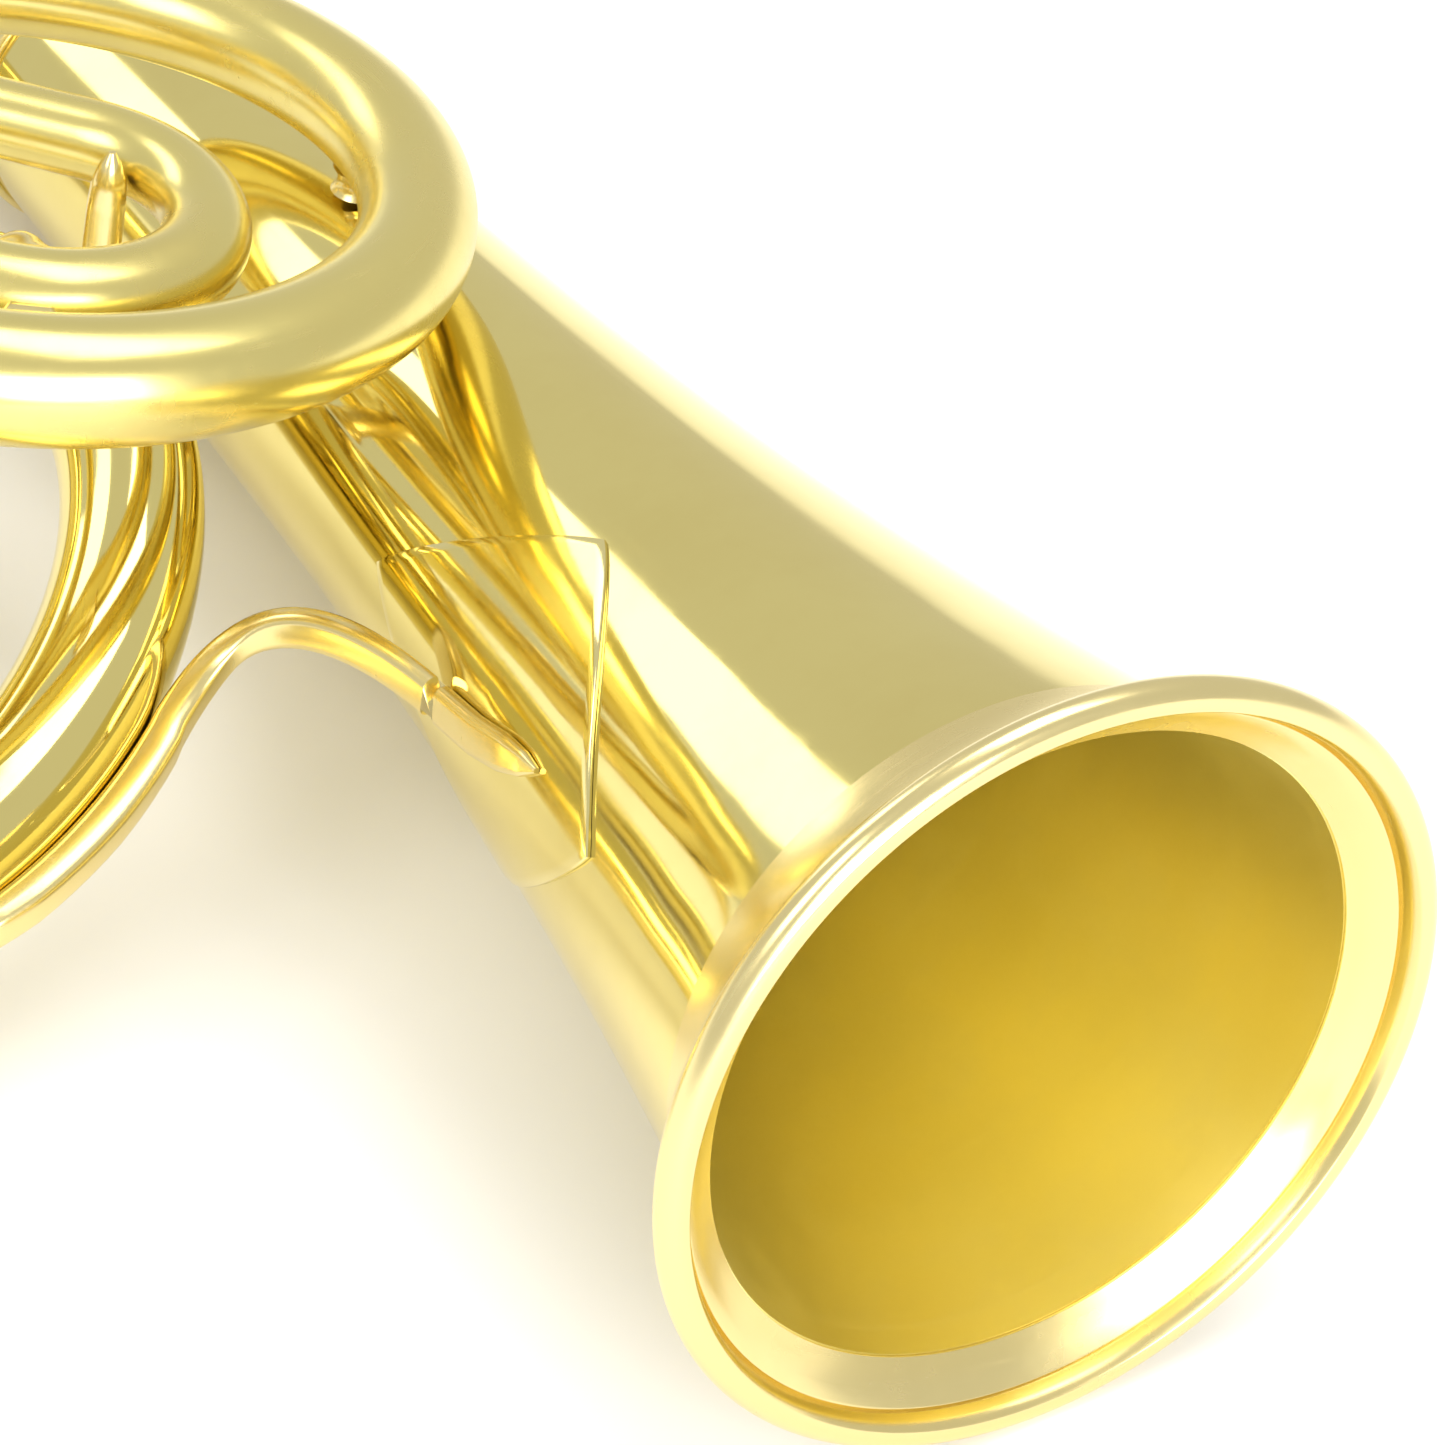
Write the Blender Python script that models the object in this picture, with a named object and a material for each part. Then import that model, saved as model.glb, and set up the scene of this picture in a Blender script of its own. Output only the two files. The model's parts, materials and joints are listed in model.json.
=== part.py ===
"""Coiled natural horn in polished brass, lying on its rim, left run and bell ferrule.

The horn is worked out in its own frame, in millimetres: x along the bell axis towards
the mouth, y across, z up out of the coils, with the rim bead's middle plane at x = 0.
The last step leans the finished horn onto the surface that it lies on and puts the
origin under the middle of its box.
"""
import math

import bpy
import bmesh
from mathutils import Matrix, Vector

MM = 0.001
GAP = 0.3             # between pieces that touch
WALL = 0.55           # sheet thickness of the bell and the tubing

# Bell: outer radius against distance behind the rim bead
RIM_RADIUS = 56.0
BEAD_RADIUS = 2.4
BEAD_FLAT = 0.9       # half width of the flat worn on the bead's front
MOUTH_DEPTH = 4.8
RING_BACK = 17.0      # where the rim ring's fillet meets the bell
BELL_LENGTH = 262.0
BELL_OUTLINE = ((4.8, 46.3), (16.0, 44.3), (30.0, 41.6), (50.0, 38.0), (80.0, 33.4),
                (110.0, 29.7), (140.0, 26.9), (170.0, 24.8), (200.0, 23.2), (262.0, 20.6))

# Coils: plan centres and radii of the bows, and the heights of the levels they lie on
COIL_LEVEL = 35.9
SIDE_LEVEL = 5.0
LOW_LEVEL = -37.0
PIPE_LIFT = 14.0
PIPE_RISE = (12.0, 58.0)
MOUTHPIPE_LENGTH = 138.0
INNER_CENTRE = Vector((-169.0, -58.0))
INNER_RADIUS = 22.4
INNER_TURN = 136.0
OUTER_CENTRE = Vector((-180.0, -56.0))
OUTER_RADIUS = 53.8
OUTER_START = 176.0
LOWER_CENTRE = Vector((-177.0, -104.0))
LOWER_RADIUS = 61.0

# Outer radius of the tubing where each stretch starts
BORE = {"mouthpipe": 4.9, "inner": 5.5, "leg": 6.9, "swing": 7.0, "outer": 7.15, "side": 9.1,
        "beside": 9.35, "lower": 9.4, "left": 11.3, "rear": 12.0, "bell": 20.6, "tail": 21.4}

# Ferrules: stretch that each sits on, and how far along it
FERRULES = {"pipe_ferrule": ("mouthpipe", 62.0), "inner_ferrule": ("swing", 88.0),
            "outer_ferrule": ("side", 12.0), "side_ferrule": ("lower", -13.0),
            "lower_ferrule": ("left", 24.0), "bell_ferrule": ("bell", 0.0)}
FERRULE_HALF = 8.0
FERRULE_WALL = 0.8

# Receiver and mouthpiece, along the mouthpipe's axis
RECEIVER_LENGTH = 32.0
SHANK_DEPTH = 22.0
SHANK_RADIUS = 4.8
SHANK_TAPER = 0.02
MOUTHPIECE_REACH = 46.0
CUP_RIM_RADIUS = 13.2
CUP_RADIUS = 8.3
CUP_DEPTH = 11.0
THROAT_RADIUS = 1.9

# Patch plate: distance behind the rim and degrees about the bell, centre and half size
PATCH_CENTRE = (86.0, 170.0)
PATCH_HALF = (35.5, 47.0)
PATCH_THICK = 0.5

# Carrying ring and its eye
CARRY_RADIUS = 10.0
CARRY_WIRE = 1.3
CARRY_HANG = 45.0      # degrees that the ring hangs below the plane of the coils
EYE_RADIUS = 2.6
EYE_WIRE = 1.0

# How the horn leans on the surface, in degrees
PITCH = 7.29
ROLL = -9.43

BRASS = (0.80, 0.62, 0.25)
PALE_BRASS = (0.86, 0.76, 0.48)
SILVER_PLATE = (0.82, 0.80, 0.74)


# ---------------------------------------------------------------- small geometry helpers

def smooth(u):
    """Ease from 0 to 1 with level ends."""
    u = min(1.0, max(0.0, u))
    return u * u * (3.0 - 2.0 * u)


def turn(degrees):
    """Unit vector in plan."""
    angle = math.radians(degrees)
    return Vector((math.cos(angle), math.sin(angle)))


def outline_at(outline, x):
    """Value at x of a smooth curve through an outline's points."""
    last = len(outline) - 2
    i = max(0, min(last, sum(1 for p in outline[1:-1] if p[0] <= x)))
    (x0, y0), (x1, y1) = outline[i], outline[i + 1]
    before = outline[i - 1] if i > 0 else (2 * x0 - x1, 2 * y0 - y1)
    after = outline[i + 2] if i < last else (2 * x1 - x0, 2 * y1 - y0)
    slope_in = (y1 - before[1]) / (x1 - before[0]) * (x1 - x0)
    slope_out = (after[1] - y0) / (after[0] - x0) * (x1 - x0)
    t = (x - x0) / (x1 - x0)
    return (y0 * (2 * t**3 - 3 * t**2 + 1) + slope_in * (t**3 - 2 * t**2 + t)
            + y1 * (3 * t**2 - 2 * t**3) + slope_out * (t**3 - t**2))


def bell_radius(behind):
    """Outer radius of the bell at a distance behind the rim."""
    return outline_at(BELL_OUTLINE, behind)


def bell_point(behind, degrees, lift):
    """Point over the bell's outer surface."""
    across = turn(degrees) * (bell_radius(behind) + lift)
    return Vector((-behind, across.x, across.y))


def circle(centre, u, v, radius, sides):
    """Ring of points around a centre."""
    return [centre + (u * math.cos(a) + v * math.sin(a)) * radius
            for a in (2 * math.pi * k / sides for k in range(sides))]


# ---------------------------------------------------------------- mesh and material makers

def brass(name, color, roughness):
    material = bpy.data.materials.new(name)
    material.use_nodes = True
    shader = material.node_tree.nodes["Principled BSDF"]
    shader.inputs["Base Color"].default_value = (*color, 1.0)
    shader.inputs["Roughness"].default_value = roughness
    shader.inputs["Metallic"].default_value = 1.0
    material.diffuse_color = (*color, 1.0)
    return material


def loft(name, rings, closed=False, color=BRASS, roughness=0.12):
    """Skin a row of rings: a closed row makes a tube wall, an open row gets end caps."""
    bm = bmesh.new()
    rows = [[bm.verts.new(p * MM) for p in ring] for ring in rings]
    pairs = list(zip(rows, rows[1:]))
    if closed:
        pairs.append((rows[-1], rows[0]))
    else:
        bm.faces.new(rows[0])
        bm.faces.new(rows[-1])
    count = len(rows[0])
    for a, b in pairs:
        for k in range(count):
            n = (k + 1) % count
            bm.faces.new((a[k], a[n], b[n], b[k]))
    bmesh.ops.recalc_face_normals(bm, faces=bm.faces)
    mesh = bpy.data.meshes.new(name)
    bm.to_mesh(mesh)
    bm.free()
    mesh.shade_smooth()
    mesh.set_sharp_from_angle(angle=math.radians(40.0))
    mesh.materials.append(brass(name + "_finish", color, roughness))
    obj = bpy.data.objects.new(name, mesh)
    bpy.context.collection.objects.link(obj)
    return obj


def turned(name, outline, origin, axis, sides, **finish):
    """Turn a closed outline of (along, radius) about an axis."""
    axis = axis.normalized()
    u = axis.orthogonal().normalized()
    v = axis.cross(u)
    rings = [circle(origin + axis * along, u, v, radius, sides) for along, radius in outline]
    return loft(name, rings, closed=True, **finish)


def strap(name, sections, **finish):
    """Bar of rectangular section; each section is (foot, lift, across, width, thickness)."""
    rings = []
    for foot, lift, across, width, thickness in sections:
        lift = lift.normalized()
        across = (across - lift * across.dot(lift)).normalized() * (width / 2.0)
        top = foot + lift * thickness
        rings.append([foot - across, foot + across, top + across * 0.86, top - across * 0.86])
    return loft(name, rings, **finish)


# ---------------------------------------------------------------- windway

class Windway:
    """Centreline of the tubing, from the receiver's mouth to the bell's tail."""

    STEP = 2.0

    def __init__(self):
        self.plan = []
        self.marks = {}

    def line(self, name, start, end):
        """Straight run in plan."""
        self.marks[name] = len(self.plan)
        count = max(1, round((end - start).length / self.STEP))
        self.plan += [start.lerp(end, k / count) for k in range(count)]

    def bow(self, name, centre, radius, start, end):
        """Clockwise bow in plan, from start to end in degrees."""
        self.marks[name] = len(self.plan)
        count = max(2, round(math.radians(start - end) * radius / self.STEP))
        self.plan += [centre + turn(start + (end - start) * k / count) * radius
                      for k in range(count)]

    def finish(self, name, end):
        """Close the plan, then work out the heights, the bore and the frames."""
        self.marks[name] = len(self.plan)
        self.plan.append(end)
        self.run = [0.0]
        for a, b in zip(self.plan, self.plan[1:]):
            self.run.append(self.run[-1] + (b - a).length)
        self.start = {key: self.run[k] for key, k in self.marks.items()}
        self.centre = [Vector((p.x, p.y, coil_height(self.start, s)))
                       for p, s in zip(self.plan, self.run)]
        self.bore = tuple((self.start[key], radius) for key, radius in BORE.items())
        side = Vector((0.0, 0.0, 1.0))
        self.frames = []
        for k in range(len(self.centre)):
            ahead = self.centre[min(k + 1, len(self.centre) - 1)]
            tangent = (ahead - self.centre[max(k - 1, 0)]).normalized()
            side = (side - tangent * side.dot(tangent)).normalized()
            self.frames.append((tangent, side, tangent.cross(side)))

    def at(self, station):
        """Centre, tangent, two cross vectors and outer radius at a distance along."""
        k = max(0, min(len(self.run) - 2, sum(1 for s in self.run if s <= station) - 1))
        t = (station - self.run[k]) / (self.run[k + 1] - self.run[k])
        centre = self.centre[k].lerp(self.centre[k + 1], t)
        tangent, side, other = (a.lerp(b, t).normalized()
                                for a, b in zip(self.frames[k], self.frames[k + 1]))
        return centre, tangent, side, other, outline_at(self.bore, station)

    def ring(self, station, extra, sides):
        """Ring about the centreline, extra millimetres outside the tubing."""
        centre, tangent, side, other, radius = self.at(station)
        return circle(centre, side, other, radius + extra, sides)

    def tube(self, name, first, last, sides, pitch):
        """Open tube between two stations."""
        count = max(2, round((last - first) / pitch))
        stations = [first + (last - first) * k / count for k in range(count + 1)]
        rings = [self.ring(s, 0.0, sides) for s in stations]
        rings += [self.ring(s, -WALL, sides) for s in reversed(stations)]
        return loft(name, rings, closed=True)

    def sleeve(self, name, middle, half, wall, sides):
        """Ferrule with a bead at each end."""
        inside = [(half, GAP), (0.0, GAP), (-half, GAP)]
        outside = [(-half, GAP + wall * 1.6), (-half + 1.4, GAP + wall * 1.6),
                   (-half + 1.9, GAP + wall), (0.0, GAP + wall)]
        outside += [(-along, extra) for along, extra in reversed(outside[:-1])]
        rings = [self.ring(middle + along, extra, sides) for along, extra in inside + outside]
        return loft(name, rings, closed=True, color=PALE_BRASS)


def coil_height(start, s):
    """Height of the centreline: raised mouthpipe, level coils, fall, dip, rise to the bell."""
    to_inner = start["inner"] - s
    lift = PIPE_LIFT * smooth((to_inner - PIPE_RISE[0]) / (PIPE_RISE[1] - PIPE_RISE[0]))
    side_length = start["beside"] - start["side"]
    fall_start = start["side"] - math.radians(60.0) * OUTER_RADIUS
    fall_end = start["side"] + side_length * 100.0 / 180.0
    fall = (COIL_LEVEL - SIDE_LEVEL) * smooth((s - fall_start) / (fall_end - fall_start))
    dip_start = start["lower"] - math.radians(5.0) * LOWER_RADIUS
    dip_end = start["lower"] + math.radians(115.0) * LOWER_RADIUS
    dip = (SIDE_LEVEL - LOW_LEVEL) * smooth((s - dip_start) / (dip_end - dip_start))
    rise_end = start["rear"] + 0.66 * (start["bell"] - start["rear"])
    rise = -LOW_LEVEL * smooth((s - start["rear"] + 6.0) / (rise_end - start["rear"] + 6.0))
    return COIL_LEVEL + lift - fall - dip + rise


def lay_windway():
    """Chain straight runs and bows, each tangent to the one before."""
    way = Windway()
    entry = INNER_CENTRE + turn(INNER_TURN) * INNER_RADIUS
    way.line("mouthpipe", entry + turn(INNER_TURN + 90.0) * MOUTHPIPE_LENGTH, entry)
    leave = INNER_TURN - 180.0
    way.bow("inner", INNER_CENTRE, INNER_RADIUS, INNER_TURN, leave)

    # The return leg swings out to meet the outer bow: both tangents give its radius.
    leg = INNER_CENTRE + turn(leave) * INNER_RADIUS
    lean = turn(OUTER_START).dot(turn(leave))
    swing = ((leg - OUTER_CENTRE).dot(turn(leave)) - OUTER_RADIUS * lean) / (1.0 - lean)
    swing_centre = OUTER_CENTRE + turn(OUTER_START) * (OUTER_RADIUS - swing)
    way.line("leg", leg, swing_centre + turn(leave) * swing)
    way.bow("swing", swing_centre, swing, leave, OUTER_START - 360.0)
    way.bow("outer", OUTER_CENTRE, OUTER_RADIUS, OUTER_START, -90.0)

    # A small bow brings it back beside the bell, and the lower bow takes it forward.
    left = OUTER_CENTRE.y - OUTER_RADIUS
    right = LOWER_CENTRE.y + LOWER_RADIUS
    side_radius = (right - left) / 2.0
    way.bow("side", Vector((OUTER_CENTRE.x, left + side_radius)), side_radius, -90.0, -270.0)
    way.line("beside", Vector((OUTER_CENTRE.x, right)), Vector((LOWER_CENTRE.x, right)))
    way.bow("lower", LOWER_CENTRE, LOWER_RADIUS, 90.0, -90.0)

    # A straight run and the great rear bow lead into the bell.
    far = LOWER_CENTRE.y - LOWER_RADIUS
    way.line("left", Vector((LOWER_CENTRE.x, far)), Vector((-BELL_LENGTH, far)))
    way.bow("rear", Vector((-BELL_LENGTH, far / 2.0)), -far / 2.0, -90.0, -270.0)
    tail = Vector((20.0 - BELL_LENGTH, 0.0))
    way.line("bell", Vector((-BELL_LENGTH, 0.0)), tail)
    way.finish("tail", tail)
    return way


# ---------------------------------------------------------------- bell

def make_bell():
    """Sheet bell, open at both ends."""
    stations = [MOUTH_DEPTH, 30.0, 50.0, 64.0, 80.0, 98.0, 118.0, 150.0, 187.0, 224.0, BELL_LENGTH]
    outline = [(-s, bell_radius(s)) for s in stations]
    outline += [(-s, bell_radius(s) - WALL) for s in reversed(stations)]
    return turned("bell", outline, Vector(), Vector((1, 0, 0)), 36)


def make_rim_ring():
    """Flared lip, fine groove, rolled bead with a flat front, and the fillet behind."""
    bead_middle = RIM_RADIUS - BEAD_RADIUS
    outline = [(-MOUTH_DEPTH + 0.2, 46.3 + GAP), (-2.4, 48.6), (-0.5, 50.9), (-0.9, 51.3)]
    outline += [(0.9, 51.7), (BEAD_RADIUS, bead_middle - BEAD_FLAT),
                (BEAD_RADIUS, bead_middle + BEAD_FLAT)]
    for degrees in (40.0, 0.0, -40.0, -75.0):
        lean = turn(degrees) * BEAD_RADIUS
        outline.append((lean.y, bead_middle + lean.x))
    shoulder = Vector((3.2, 52.0))
    foot_gap = GAP + 0.3
    rise = shoulder.y - bell_radius(shoulder.x) - foot_gap
    for degrees in (80.0, 60.0, 40.0, 20.0, 0.0):
        lean = turn(degrees)
        behind = RING_BACK - (RING_BACK - shoulder.x) * lean.y
        outline.append((-behind, bell_radius(behind) + foot_gap + rise * (1.0 - lean.x)))
    outline.append((-RING_BACK, bell_radius(RING_BACK) + GAP))
    return turned("rim_ring", outline, Vector(), Vector((1, 0, 0)), 36, color=PALE_BRASS)


def make_patch():
    """Thin lozenge plate soldered over the bell's side, its corners rounded."""
    rounding = 1.12
    corners = 24
    steps = 5
    under = []
    over = []
    for step in range(1, steps + 1):
        for lift, rows in ((GAP, under), (GAP + PATCH_THICK, over)):
            row = []
            for k in range(corners):
                lean = turn(360.0 * k / corners)
                size = (abs(lean.x) ** rounding + abs(lean.y) ** rounding) ** (-1.0 / rounding)
                size *= step / steps
                row.append(bell_point(PATCH_CENTRE[0] + PATCH_HALF[0] * lean.x * size,
                                      PATCH_CENTRE[1] + PATCH_HALF[1] * lean.y * size, lift))
            rows.append(row)
    return loft("bell_patch", under + over[::-1])


# ---------------------------------------------------------------- tubing and ferrules

def make_tubing(way):
    """Six drawn tubes that meet inside the ferrules."""
    joints = {name: way.start[mark] + offset for name, (mark, offset) in FERRULES.items()}
    cuts = [SHANK_DEPTH + 1.0] + list(joints.values())
    names = ("mouthpipe", "inner_bow", "outer_bow", "side_bow", "lower_bow", "rear_bow")
    sides = (12, 16, 16, 16, 16, 20)
    pitches = (10.0, 10.0, 10.0, 10.0, 10.0, 12.0)
    for name, first, last, count, pitch in zip(names, cuts, cuts[1:], sides, pitches):
        way.tube(name, first + GAP / 2, last - 1.5 * GAP, count, pitch)
    for name, middle in joints.items():
        way.sleeve(name, middle, FERRULE_HALF, FERRULE_WALL, 28 if name == "bell_ferrule" else 16)


def mouth_axis(way):
    """Middle of the receiver's mouth, and the way out of it."""
    centre, tangent, _, _, _ = way.at(0.0)
    return centre, -tangent


def make_receiver(way):
    """Tapered socket over the mouthpipe's end, with a collar."""
    centre, axis = mouth_axis(way)
    step = -SHANK_DEPTH - 0.6
    outline = [(0.0, 7.0), (-0.4, 7.4), (-2.8, 7.4), (-3.4, 6.5), (-RECEIVER_LENGTH + 4, 6.2),
               (-RECEIVER_LENGTH, 5.7), (-RECEIVER_LENGTH, 5.25), (step, 5.25),
               (step, SHANK_RADIUS + GAP - SHANK_TAPER * SHANK_DEPTH), (0.0, SHANK_RADIUS + GAP)]
    return turned("receiver", outline, centre, axis, 24, color=PALE_BRASS)


def make_mouthpiece(way):
    """Cup mouthpiece: shank, blank, cup, rim and the bore right through it."""
    centre, axis = mouth_axis(way)
    rim = MOUTHPIECE_REACH
    tip = SHANK_RADIUS - SHANK_TAPER * SHANK_DEPTH
    floor = rim - CUP_DEPTH
    outline = [(-SHANK_DEPTH, tip), (0.0, SHANK_RADIUS), (rim * 0.30, 5.7), (rim * 0.42, 7.2),
               (rim * 0.55, 9.8), (rim * 0.72, 11.4), (rim - 4.4, 11.7),
               (rim - 3.2, CUP_RIM_RADIUS - 0.2), (rim - 1.6, CUP_RIM_RADIUS),
               (rim - 0.3, CUP_RIM_RADIUS - 1.2), (rim, CUP_RIM_RADIUS - 2.4),
               (rim, CUP_RADIUS + 1.4), (rim - 1.2, CUP_RADIUS), (floor + 5.5, CUP_RADIUS - 1.3),
               (floor + 2.0, CUP_RADIUS - 3.6), (floor, THROAT_RADIUS + 0.5),
               (floor - 3.0, THROAT_RADIUS), (-SHANK_DEPTH, tip - 0.9)]
    obj = turned("mouthpiece", outline, centre, axis, 28, color=SILVER_PLATE, roughness=0.08)
    return obj


# ---------------------------------------------------------------- stays

def over_bow(way, mark, degrees, elevation, lift):
    """Point over a bow's tube, some degrees into the bow and some above its outer side."""
    radius = {"inner": INNER_RADIUS, "lower": LOWER_RADIUS}[mark]
    centre, tangent, _, _, bore = way.at(way.start[mark] + math.radians(degrees) * radius)
    outward = Vector((-tangent.y, tangent.x, 0.0)).normalized()
    rise = turn(elevation)
    lean = outward * rise.x + tangent.cross(outward) * -rise.y
    return centre + lean * (bore + lift), lean, tangent


def make_bell_stay(way):
    """Cast bridge: one foot along the lower bow's outer side, one on the bell's patch."""
    up = Vector((0.0, 0.0, 1.0))
    sections = []
    for degrees, width, thick in ((86.0, 2.4, 1.0), (81.0, 5.6, 3.4), (74.0, 6.2, 5.0),
                                  (63.0, 6.2, 5.2), (53.0, 6.0, 5.0)):
        foot, lean, run = over_bow(way, "lower", degrees, 4.0, GAP)
        sections.append((foot, lean, up, width, thick))

    # The bend between the feet leaves the bow along its run and lands along the bell.
    lift = 2 * GAP + PATCH_THICK
    land = bell_point(94.0, 179.0, lift)
    bend = (foot, foot - run * 26.0, land + Vector((-24.0, -5.0, 3.0)), land)
    for t in (0.12, 0.25, 0.38, 0.52, 0.66, 0.8, 0.91):
        r = 1.0 - t
        point = (bend[0] * r**3 + bend[1] * (3 * r * r * t) + bend[2] * (3 * r * t * t)
                 + bend[3] * t**3)
        along = ((bend[1] - bend[0]) * (r * r) + (bend[2] - bend[1]) * (2 * r * t)
                 + (bend[3] - bend[2]) * (t * t))
        sections.append((point, along.cross(up), up, 5.8, 4.8 - 2.2 * t))
    for behind, degrees, width, thick in ((94.0, 179.0, 5.8, 2.4), (84.0, 175.5, 5.6, 2.2),
                                          (76.0, 171.5, 5.2, 2.0), (68.0, 167.5, 1.6, 0.8)):
        lean = turn(degrees)
        sections.append((bell_point(behind, degrees, lift), Vector((0.0, lean.x, lean.y)),
                         Vector((0.15, -lean.y, lean.x)), width, thick))
    return strap("bell_stay", sections, color=PALE_BRASS)


def make_coil_stay(way):
    """Small stay that fills the gap between the inner and outer bows, its tip over the tube."""
    sections = []
    for elevation, width, thick in ((-24.0, 6.0, 0.9), (-8.0, 8.0, 4.2), (8.0, 8.0, 4.2),
                                    (24.0, 7.0, 1.0), (42.0, 5.0, 0.8), (60.0, 3.0, 0.8),
                                    (78.0, 0.8, 0.6)):
        foot, lean, run = over_bow(way, "inner", 164.0, elevation, GAP)
        sections.append((foot, lean, run, width, thick))
    return strap("coil_stay", sections, color=PALE_BRASS)


def make_hole_stay(way):
    """Pointed post beside the inner bow, standing on the tube that passes under it."""
    radius = 2.6
    station = way.start["inner"] + math.radians(26.0) * INNER_RADIUS
    centre, tangent, _, _, bore = way.at(station)
    inward = Vector((tangent.y, -tangent.x, 0.0)).normalized()
    foot = centre + inward * (bore + GAP + radius)
    top_of_tube = SIDE_LEVEL + way.at(way.start["lower"])[4]
    x, y = Vector((1, 0, 0)), Vector((0, 1, 0))
    rings = [circle(Vector((foot.x, foot.y, z)), x, y, size, 14)
             for z, size in ((top_of_tube + GAP, radius + 0.9), (top_of_tube + 1.6, radius + 0.7),
                             (top_of_tube + 3.2, radius), (COIL_LEVEL - 3.0, radius),
                             (COIL_LEVEL + 1.5, radius - 0.7), (COIL_LEVEL + 4.5, 0.8))]
    return loft("hole_stay", rings, color=PALE_BRASS)


def make_coil_saddle(way):
    """Round block between the bell's back and the outer bow that crosses over it."""
    crossing = OUTER_CENTRE + Vector((0.0, OUTER_RADIUS))
    bore = way.at(way.start["outer"] + math.radians(OUTER_START - 90.0) * OUTER_RADIUS)[4]
    low = bell_radius(-crossing.x - 4.0) + GAP
    high = COIL_LEVEL - bore - GAP
    x, y = Vector((1, 0, 0)), Vector((0, 1, 0))
    rings = [circle(Vector((crossing.x, crossing.y, z)), x, y, radius, 16)
             for z, radius in ((low, 4.0), ((low + high) / 2, 3.2), (high, 4.0))]
    return loft("coil_saddle", rings, color=PALE_BRASS)


def disc(centre, normal, radius, sides):
    """Ring square to a normal, its first point always towards the same side."""
    u = (Vector((1, 0, 0)) - normal * normal.x).normalized()
    return circle(centre, u, normal.cross(u), radius, sides)


def make_cross_stay(way):
    """Round bar between the outer bow and the low run, with a flange at each end."""
    upper = way.at(way.start["side"] - 3.0)
    lower = way.at(way.start["left"] + 2.0)
    axis = (lower[0] - upper[0]).normalized()
    seats = []
    for name, (centre, tangent, _, _, bore), toward in (("cross_flange_upper", upper, axis),
                                                        ("cross_flange_lower", lower, -axis)):
        normal = (toward - tangent * toward.dot(tangent)).normalized()
        foot = centre + normal * (bore + GAP)
        loft(name, [disc(foot + normal * depth, normal, radius, 16)
                    for depth, radius in ((0.0, 5.6), (0.7, 5.6), (1.2, 4.2))], color=PALE_BRASS)
        seats.append((foot + normal * (1.2 + GAP), normal if toward is axis else -normal))
    (first, first_normal), (last, last_normal) = seats
    rings = [disc(first, first_normal, 3.2, 12), disc(first.lerp(last, 0.2), axis, 2.0, 12),
             disc(first.lerp(last, 0.8), axis, 2.0, 12), disc(last, last_normal, 3.2, 12)]
    return loft("cross_stay", rings, color=PALE_BRASS)


# ---------------------------------------------------------------- carrying ring

def eye_centre(way):
    """Middle of the eye on the back of the rear bow."""
    centre, _, _, _, bore = way.at((way.start["rear"] + way.start["bell"]) / 2.0)
    return centre - Vector((bore + GAP + EYE_RADIUS + EYE_WIRE, 0.0, 0.0))


def wire_ring(name, centre, u, v, radius, wire, around, sides):
    """Closed ring of round wire in the plane of u and v."""
    rings = []
    for k in range(around):
        angle = 2 * math.pi * k / around
        out = u * math.cos(angle) + v * math.sin(angle)
        rings.append(circle(centre + out * radius, out, u.cross(v), wire, sides))
    return loft(name, rings, closed=True, color=PALE_BRASS)


def make_carrying_ring(way):
    """Eye soldered to the bow, and the loose ring that hangs back from it."""
    x, y, z = Vector((1, 0, 0)), Vector((0, 1, 0)), Vector((0, 0, 1))
    middle = eye_centre(way)
    wire_ring("ring_eye", middle, x, z, EYE_RADIUS, EYE_WIRE, 14, 8)
    fall = turn(CARRY_HANG)
    back = x * -fall.x - z * fall.y
    ring = wire_ring("carrying_ring", middle + back * CARRY_RADIUS, back, y, CARRY_RADIUS,
                     CARRY_WIRE, 28, 8)
    move_origin(ring, middle * MM)


# ---------------------------------------------------------------- assembly

def move_origin(obj, point):
    """Put a moving piece's origin on its joint's axis."""
    obj.data.transform(Matrix.Translation(-point))
    obj.location = point


def lean_and_set_down(pieces):
    """Lean the horn onto its surface, with the origin under the middle of its box."""
    lean = (Matrix.Rotation(math.radians(ROLL), 4, "X")
            @ Matrix.Rotation(math.radians(-PITCH), 4, "Y"))
    corners = [lean @ piece.matrix_basis @ vertex.co
               for piece in pieces for vertex in piece.data.vertices]
    low = [min(c[k] for c in corners) for k in range(3)]
    high = [max(c[k] for c in corners) for k in range(3)]
    shift = Vector((-(low[0] + high[0]) / 2, -(low[1] + high[1]) / 2, -low[2]))
    frame = bpy.data.objects.new("horn_frame", None)
    bpy.context.collection.objects.link(frame)
    frame.matrix_world = Matrix.Translation(shift) @ lean
    for piece in pieces:
        piece.parent = frame
    bpy.context.view_layer.update()


def build():
    for obj in list(bpy.data.objects):
        bpy.data.objects.remove(obj, do_unlink=True)
    way = lay_windway()
    make_bell()
    make_rim_ring()
    make_patch()
    make_tubing(way)
    make_receiver(way)
    move_origin(make_mouthpiece(way), mouth_axis(way)[0] * MM)
    make_bell_stay(way)
    make_coil_stay(way)
    make_hole_stay(way)
    make_coil_saddle(way)
    make_cross_stay(way)
    make_carrying_ring(way)
    lean_and_set_down([obj for obj in bpy.data.objects if obj.type == "MESH"])


build()
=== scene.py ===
import json
import math

import bmesh
import bpy
from mathutils import Matrix, Vector


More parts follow.
